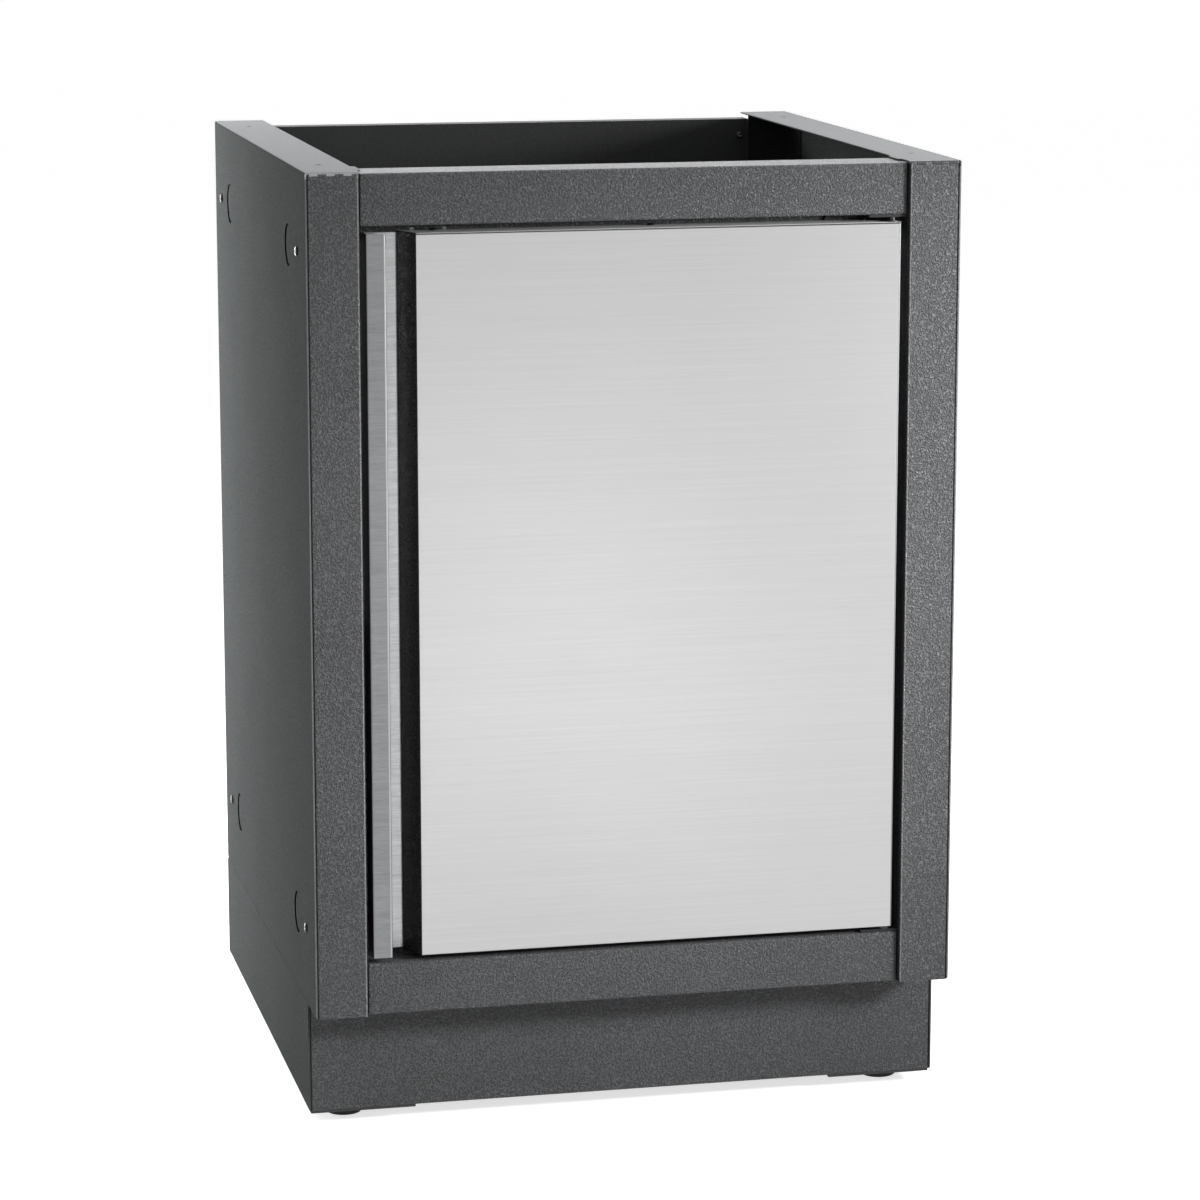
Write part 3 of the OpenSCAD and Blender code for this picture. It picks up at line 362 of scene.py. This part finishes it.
def door_tone(look, lines, body):
    """The door gets painted shade along its bends, and is matte and pale on its upper fold as a
    painted highlight.
    """
    # Painted shade along the door's right bend
    side = look.calc(
        look.past("X", DOOR_SIDE_BEND_M), look.past("Y", DOOR_FACE_M), "MULTIPLY"
    )
    body = look.mix(side, body, srgb(DOOR_SIDE_BEND_SHADE))
    # Painted shade along the door's top bend
    body = look.mix(look.past("Z", DOOR_TOP_BEND_M), body, srgb(DOOR_TOP_BEND_SHADE))
    # A painted highlight on the upper fold: pale and hardly metallic
    fold = look.past("Z", DOOR_FOLD_M)
    return look.mix(fold, body, srgb(DOOR_FOLD_HIGHLIGHT)), look.mix_value(fold, 1.0, 0.1)


def brushed_steel(name, dark, light, rough, grain_m, stretch, wear, tone):
    """Stainless sheet with a fine grain along its long lines; tone sets off parts of it."""
    look = Look(name)
    fine = look.noise(1.0, detail=3.0, roughness=0.65, stretch=stretch)
    broad_stretch = tuple(s * 0.22 for s in stretch)
    broad = look.noise(1.0, detail=2.0, roughness=0.6, stretch=broad_stretch)
    cloud = look.spread(look.noise(3.0, detail=2.0), 0.3, 0.7, -0.15, 0.15)
    grain = look.calc(
        look.spread(fine, 0.3, 0.7, 0.0, 0.65), look.spread(broad, 0.3, 0.7, 0.0, 0.35)
    )
    lines = look.calc(grain, cloud)
    body = look.mix(lines, srgb(dark), srgb(light))
    body = look.mix(look.wear_and_sheen(radius_m=0.001, share=wear), body, srgb(WORN_STEEL))
    body, metal = tone(look, lines, body)
    return look.set(
        Base_Color=body,
        Metallic=metal,
        Roughness=look.mix_value(grain, rough + 0.03, rough - 0.03),
        Anisotropic=0.5,
        Anisotropic_Rotation=0.25,
        Normal=look.bump(fine, grain_m, strength=0.5, edge_m=0.0004),
    )


def moulded(name, dark, light, rough, grain_scale, relief_m, bend_m=0.0005):
    """Moulded plastic or rubber with a fine texture and edges rounded to bend_m."""
    look = Look(name)
    grain = look.noise(grain_scale, detail=2.0)
    body = look.mix(look.spread(grain, 0.3, 0.7), srgb(dark), srgb(light))
    lighter = tuple(min(1.0, 1.8 * v + 0.01) for v in srgb(light)[:3]) + (1.0,)
    return look.set(
        Base_Color=look.mix(look.wear_and_sheen(radius_m=0.0006, share=0.6), body, lighter),
        Roughness=look.spread(grain, 0.3, 0.7, rough + 0.07, rough - 0.07),
        Normal=look.bump(grain, relief_m, strength=0.6, edge_m=bend_m),
    )


def plated(name, dark, light, rough):
    """Zinc-plated or nickel-plated small parts, with fine spangle and worn edges."""
    look = Look(name)
    spangle = look.noise(900.0, detail=3.0, distortion=0.4)
    stain = look.spread(look.noise(60.0, detail=3.0), 0.35, 0.75, 0.0, 0.4)
    share = look.calc(look.spread(spangle, 0.3, 0.7, 0.0, 0.6), stain)
    body = look.mix(share, srgb(dark), srgb(light))
    return look.set(
        Base_Color=look.mix(look.wear_and_sheen(radius_m=0.0004, share=0.5), body, srgb(WORN_PLATING)),
        Metallic=1.0,
        Roughness=look.spread(spangle, 0.3, 0.7, rough + 0.08, rough - 0.08),
        Normal=look.bump(spangle, 0.00004, strength=0.5, edge_m=0.0003),
    )


def dress(names, material):
    """Gives CAD nodes a material in all their slots."""
    for name in names:
        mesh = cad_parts[name].data
        mesh.materials.clear()
        mesh.materials.append(material)


def at_corners(kind):
    """The names of the four pieces of one kind."""
    return [kind + "_" + corner for corner in CORNERS]


def dress_painted():
    front = hammer_paint(
        "frame_paint_front",
        dark="#3f4041",
        light="#5d5e60",
        edge="#848687",
        top_sheen_colour="#6e7072",
        top_ends=RAIL_TOP_M,
        relief_m=0.0012,
        rough=0.5,
        gloss=0.4,
        marks=front_seams,
    )
    side = hammer_paint(
        "frame_paint_side",
        dark="#4a4c4c",
        light="#565858",
        edge="#727475",
        top_sheen_colour="#a6a8a9",
        top_ends=SIDE_TOP_M,
        relief_m=0.0004,
        rough=0.8,
        gloss=0.0,
        marks=panel_marks,
    )
    dress(FRONT_PAINTED, front)
    dress(SIDE_PAINTED, side)
    dress(INNER_PAINTED, inner_paint("inner_paint_look", dark="#191a1b", light="#242526"))


def dress_steel():
    door = brushed_steel(
        "door_steel_look",
        dark="#b9b9b9",
        light="#c4c4c4",
        rough=0.34,
        grain_m=0.00002,
        stretch=(7.0, 700.0, 1500.0),
        wear=0.1,
        tone=door_tone,
    )
    pull = brushed_steel(
        "pull_steel_look",
        dark="#9c9d9e",
        light="#bebfc0",
        rough=0.34,
        grain_m=0.00003,
        stretch=(60.0, 700.0, 900.0),
        wear=0.7,
        tone=strip_tone,
    )
    liner = brushed_steel(
        "liner_steel_look",
        dark="#b4b5b6",
        light="#cccdce",
        rough=0.36,
        grain_m=0.00002,
        stretch=(7.0, 700.0, 1300.0),
        wear=0.3,
        tone=plain_tone,
    )
    dress(["door_skin"], door)
    dress(["door_pull"], pull)
    dress(["door_liner"], liner)


def dress_moulded():
    grip = moulded("grip_look", "#110f0f", "#1d1918", 0.28, 700.0, 0.00003, bend_m=0.0015)
    dress(["door_grip"], grip)
    dress(["catch_body"], moulded("catch_look", "#161617", "#232325", 0.5, 900.0, 0.00005))
    dress(
        at_corners("foot_pad") + ["door_bumpers"],
        moulded("rubber_look", "#131314", "#212122", 0.62, 1100.0, 0.00008),
    )
    dress(
        ["hinge_bush_upper", "hinge_bush_lower"],
        moulded("nylon_look", "#1c1c1d", "#29292a", 0.45, 800.0, 0.00004),
    )
    dress(
        at_corners("foot_plate"),
        moulded("plate_look", "#232425", "#343536", 0.5, 500.0, 0.00008),
    )


def dress_plated():
    dress(
        ["foot_nuts", "rail_screws", "base_screws", "foot_plate_screws", "shelf_screws"]
        + ["bracket_screws", "catch_screws", "catch_strike"]
        + ["hinge_plate_upper", "hinge_plate_lower"]
        + at_corners("foot_stud"),
        plated("zinc_look", "#8f9193", "#b9bbbd", 0.34),
    )
    dress(
        ["liner_screws", "side_screws", "back_screws"],
        plated("black_screw_look", "#242425", "#38393a", 0.28),
    )
    dress(
        ["hinge_pin_upper", "hinge_pin_lower"],
        plated("pin_look", "#3c3d3e", "#565758", 0.34),
    )
    dress(["catch_magnet"], plated("magnet_look", "#55575a", "#7c7f83", 0.3))


def aim(thing, at, target):
    """Puts a camera or a lamp at a point and turns it to look at another."""
    thing.location = at
    thing.rotation_euler = (target - at).to_track_quat("-Z", "Y").to_euler()


def add_camera():
    data = bpy.data.cameras.new("camera")
    data.lens = CAMERA_LENS_MM
    data.sensor_width = CAMERA_SENSOR_MM
    camera = bpy.data.objects.new("camera", data)
    bpy.context.scene.collection.objects.link(camera)
    aim(camera, CAMERA_AT, CAMERA_LOOKS_AT)
    bpy.context.scene.camera = camera


def add_lamp(data, at, target, power):
    data.energy = power
    lamp = bpy.data.objects.new(data.name, data)
    bpy.context.scene.collection.objects.link(lamp)
    aim(lamp, Vector(at), Vector(target))


def add_softbox(name, at, target, width, height, power):
    """A glowing rectangle."""
    data = bpy.data.lights.new(name, "AREA")
    data.shape = "RECTANGLE"
    data.size = width
    data.size_y = height
    add_lamp(data, at, target, power)


def add_spot(name, at, target, angle_deg, radius_m, power):
    """A soft-edged pool of light."""
    data = bpy.data.lights.new(name, "SPOT")
    data.spot_size = math.radians(angle_deg)
    data.spot_blend = 1.0
    data.shadow_soft_size = radius_m
    add_lamp(data, at, target, power)


def ray_level(tree, camera, gloss, light):
    """A level that differs for camera rays, for gloss and glass, and for cast light."""
    rays = tree.nodes.new("ShaderNodeLightPath")
    mirrored = tree.nodes.new("ShaderNodeMath")
    mirrored.operation = "MAXIMUM"
    tree.links.new(rays.outputs["Is Glossy Ray"], mirrored.inputs[0])
    tree.links.new(rays.outputs["Is Transmission Ray"], mirrored.inputs[1])
    level = light
    for ray, value in ((mirrored.outputs[0], gloss), (rays.outputs["Is Camera Ray"], camera)):
        pick = tree.nodes.new("ShaderNodeMapRange")
        tree.links.new(ray, pick.inputs["Value"])
        pick.inputs["To Max"].default_value = value
        if isinstance(level, float):
            pick.inputs["To Min"].default_value = level
        else:
            tree.links.new(level, pick.inputs["To Min"])
        level = pick.outputs["Result"]
    return level


def add_world(ambient):
    """White surroundings, which light the object at the ambient level."""
    world = bpy.data.worlds.new("studio")
    bpy.context.scene.world = world
    world.use_nodes = True
    tree = world.node_tree
    tree.nodes.clear()
    sky = tree.nodes.new("ShaderNodeBackground")
    sky.inputs["Color"].default_value = (1.0, 1.0, 1.0, 1.0)
    tree.links.new(ray_level(tree, 1.0, 1.0, ambient), sky.inputs["Strength"])
    out = tree.nodes.new("ShaderNodeOutputWorld")
    tree.links.new(sky.outputs[0], out.inputs["Surface"])


def add_floor(half_m, colour, camera_glow, gloss_glow):
    """Pale floor that shows as white, with a painted shadow under the base, and keeps the
    object's shadow.
    """
    mesh = bpy.data.meshes.new("floor")
    ends = (-half_m, half_m)
    corners = [(x, y, 0.0) for y in ends for x in ends]
    mesh.from_pydata(corners, [], [(0, 1, 3, 2)])
    floor = bpy.data.objects.new("floor", mesh)
    bpy.context.scene.collection.objects.link(floor)
    look = Look("floor_look")
    # The floor's glow is left out under the base: a painted shadow
    shade = look.calc(
        look.between(look.axis("X"), -SHADE_SIDE_M, SHADE_SIDE_M, SHADE_SOFT_M),
        look.between(look.axis("Y"), SHADE_FRONT_M, SHADE_REAR_M, SHADE_SOFT_M),
        "MULTIPLY",
    )
    glow = ray_level(look.tree, camera_glow, gloss_glow, 0.0)
    look.set(
        Base_Color=colour,
        Roughness=0.9,
        Specular_IOR_Level=0.1,
        Emission_Color=(1.0, 1.0, 1.0, 1.0),
        Emission_Strength=look.calc(glow, look.calc(1.0, shade, "SUBTRACT"), "MULTIPLY"),
    )
    mesh.materials.append(look.material)


def add_studio():
    """Soft light from above, behind and the left, a key from the right, and a pool of light
    on the floor in front, which the door mirrors."""
    add_world(ambient=0.3)
    add_floor(30.0, (0.9, 0.9, 0.9, 1.0), camera_glow=0.7, gloss_glow=0.44)
    over = (0.0, 0.0, 0.9)
    add_softbox("top_box", (0.7, 0.2, 3.2), over, width=2.4, height=2.4, power=45.0)
    add_softbox("back_box", (0.6, 2.9, 2.3), over, width=2.0, height=1.4, power=25.0)
    add_softbox(
        "left_box", (-0.78, 0.8, 0.6), (-0.3, 0.33, 0.5), width=0.4, height=1.4, power=21.0
    )
    add_spot(
        "key", (1.6, -1.4, 1.05), (0.3, -0.3, 0.57), angle_deg=38.0, radius_m=0.25, power=360.0
    )
    add_spot(
        "pool", (0.27, -2.0, 3.0), (0.27, -2.0, 0.0), angle_deg=17.0, radius_m=0.2, power=1600.0
    )


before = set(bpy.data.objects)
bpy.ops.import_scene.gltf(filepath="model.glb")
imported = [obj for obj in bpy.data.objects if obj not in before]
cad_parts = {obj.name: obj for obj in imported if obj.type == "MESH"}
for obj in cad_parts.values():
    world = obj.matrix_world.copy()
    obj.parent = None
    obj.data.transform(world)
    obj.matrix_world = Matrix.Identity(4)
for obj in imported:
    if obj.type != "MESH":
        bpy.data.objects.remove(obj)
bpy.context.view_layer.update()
dress_painted()
dress_steel()
dress_moulded()
dress_plated()
add_camera()
add_studio()

bpy.context.scene.view_settings.view_transform = "Standard"
